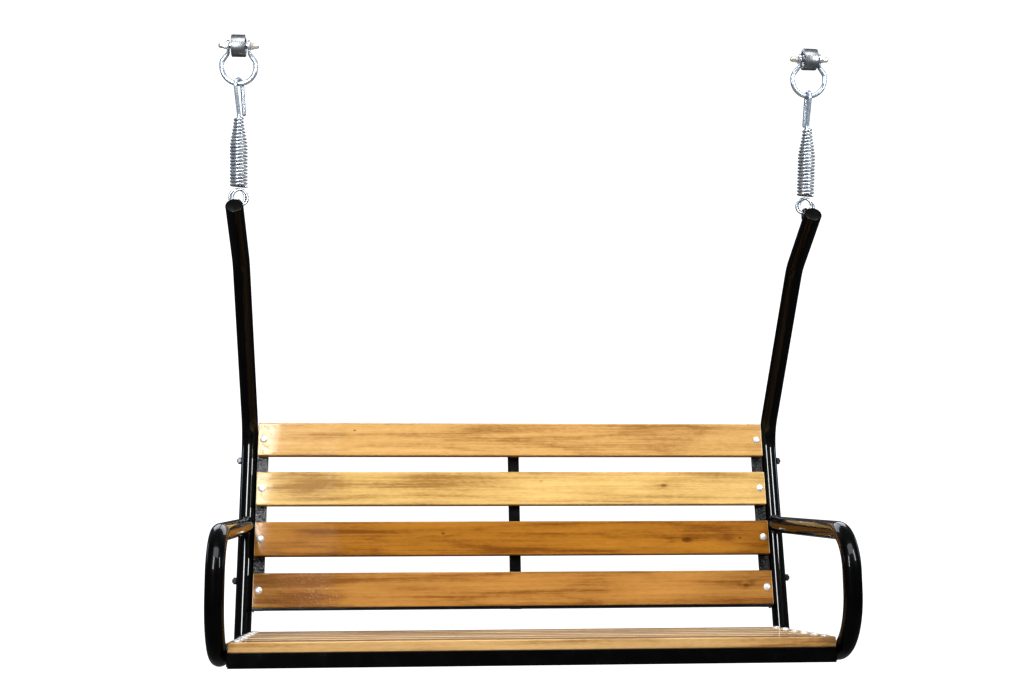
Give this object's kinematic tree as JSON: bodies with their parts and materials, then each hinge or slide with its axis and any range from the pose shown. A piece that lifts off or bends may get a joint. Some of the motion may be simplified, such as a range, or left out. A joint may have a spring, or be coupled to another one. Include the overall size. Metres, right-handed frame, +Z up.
{
  "type": "porch swing",
  "caption": "Two-seat hanging porch swing: slatted bench in a bent black tube frame with loop armrests, hung from two bearing hangers by hooks and coil springs.",
  "frame": {"origin": "midpoint between the two hanger pins, on the line the swing turns about", "axes": "+X to the sitter's left (the viewer's right), +Y from the front edge of the seat to the back, +Z up"},
  "size_m": [1.2592, 0.6853, 1.3136],
  "materials": {
    "black_paint": "gloss black baked paint",
    "black_plastic": "smooth black tube caps",
    "wood_golden": "clear-varnished wood, golden tan, fine lengthwise grain",
    "wood_pale": "clear-varnished wood, pale yellow",
    "wood_dark": "clear-varnished wood, orange brown",
    "wood_amber": "clear-varnished wood, amber",
    "wood_pinkish": "clear-varnished wood, pinkish tan",
    "zinc_fasteners": "bright zinc-plated bolts, nuts and screws",
    "nickel_nuts": "bright nickel-plated cap nuts",
    "bearing_steel": "ground bearing steel",
    "housing_zinc": "turned steel, bright zinc plating",
    "pin_steel": "turned steel pin",
    "bright_zinc": "forged steel, bright bluish zinc plating",
    "spring_steel": "bright-plated spring wire"
  },
  "bodies": {
    "bearing_housings": {"left_housing": "housing_zinc", "left_bearing_outer_rings": "bearing_steel", "left_bearing_balls": "bearing_steel", "left_bearing_shields": "bearing_steel", "right_housing": "housing_zinc", "right_bearing_outer_rings": "bearing_steel", "right_bearing_balls": "bearing_steel", "right_bearing_shields": "bearing_steel"},
    "left_shackle_set": {"left_shackle": "bright_zinc", "left_pin": "pin_steel", "left_cap_nuts": "nickel_nuts", "left_bearing_inner_rings": "bearing_steel"},
    "left_hook_set": {"left_hook": "bright_zinc", "left_spring": "spring_steel"},
    "left_spring_foot": {"left_spring_loop": "spring_steel"},
    "right_shackle_set": {"right_shackle": "bright_zinc", "right_pin": "pin_steel", "right_cap_nuts": "nickel_nuts", "right_bearing_inner_rings": "bearing_steel"},
    "right_hook_set": {"right_hook": "bright_zinc", "right_spring": "spring_steel"},
    "right_spring_foot": {"right_spring_loop": "spring_steel"},
    "bench": {"left_back_tube": "black_paint", "left_arm_tube": "black_paint", "right_back_tube": "black_paint", "right_arm_tube": "black_paint", "left_top_cap": "black_plastic", "right_top_cap": "black_plastic", "left_foot_cap": "black_plastic", "right_foot_cap": "black_plastic", "left_eye": "black_paint", "right_eye": "black_paint", "left_seat_angle": "black_paint", "right_seat_angle": "black_paint", "seat_front_rail": "black_paint", "seat_rear_rail": "black_paint", "seat_centre_strap": "black_paint", "left_back_angle": "black_paint", "right_back_angle": "black_paint", "back_centre_strap": "black_paint", "back_ledge_rail": "black_paint", "seat_slat_1": "wood_golden", "seat_slat_2": "wood_pinkish", "seat_slat_3": "wood_pinkish", "seat_slat_4": "wood_golden", "seat_slat_5": "wood_pinkish", "seat_slat_6": "wood_golden", "back_slat_1": "wood_golden", "back_slat_2": "wood_pale", "back_slat_3": "wood_dark", "back_slat_4": "wood_amber", "slat_bolts": "zinc_fasteners", "slat_nuts": "zinc_fasteners", "frame_bolts": "zinc_fasteners", "frame_nuts": "zinc_fasteners", "centre_screws": "zinc_fasteners"}
  },
  "joints": [
    {"name": "left_bearing_turn", "type": "hinge", "parent": "bearing_housings", "child": "left_shackle_set", "pos_m": [-0.588, 0, 0], "axis": [1, 0, 0], "range_deg": [-35, 35]},
    {"name": "left_hook_rock", "type": "hinge", "parent": "left_shackle_set", "child": "left_hook_set", "pos_m": [-0.588, 0, -0.076], "axis": [1, 0, 0], "range_deg": [-15, 15]},
    {"name": "left_spring_stretch", "type": "slide", "parent": "left_hook_set", "child": "left_spring_foot", "axis": [0, 0, -1], "range_m": [-0.008, 0.05], "stiffness_N_per_m": 15400, "springref_m": -0.00754, "deforming": ["left_spring"]},
    {"name": "right_bearing_turn", "type": "hinge", "parent": "bearing_housings", "child": "right_shackle_set", "pos_m": [0.588, 0, 0], "axis": [1, 0, 0], "range_deg": [-35, 35]},
    {"name": "right_hook_rock", "type": "hinge", "parent": "right_shackle_set", "child": "right_hook_set", "pos_m": [0.588, 0, -0.076], "axis": [1, 0, 0], "range_deg": [-15, 15]},
    {"name": "right_spring_stretch", "type": "slide", "parent": "right_hook_set", "child": "right_spring_foot", "axis": [0, 0, -1], "range_m": [-0.008, 0.05], "stiffness_N_per_m": 15400, "springref_m": -0.00754, "deforming": ["right_spring"]},
    {"name": "bench_rock", "type": "hinge", "parent": "left_spring_foot", "child": "bench", "pos_m": [-0.588, 0, -0.3205], "axis": [1, 0, 0], "range_deg": [-12, 12]}
  ],
  "couplings": [
    {"joint": "right_bearing_turn", "follows": "left_bearing_turn", "ratio": 1},
    {"joint": "right_hook_rock", "follows": "left_hook_rock", "ratio": 1},
    {"joint": "right_spring_stretch", "follows": "left_spring_stretch", "ratio": 1}
  ]
}
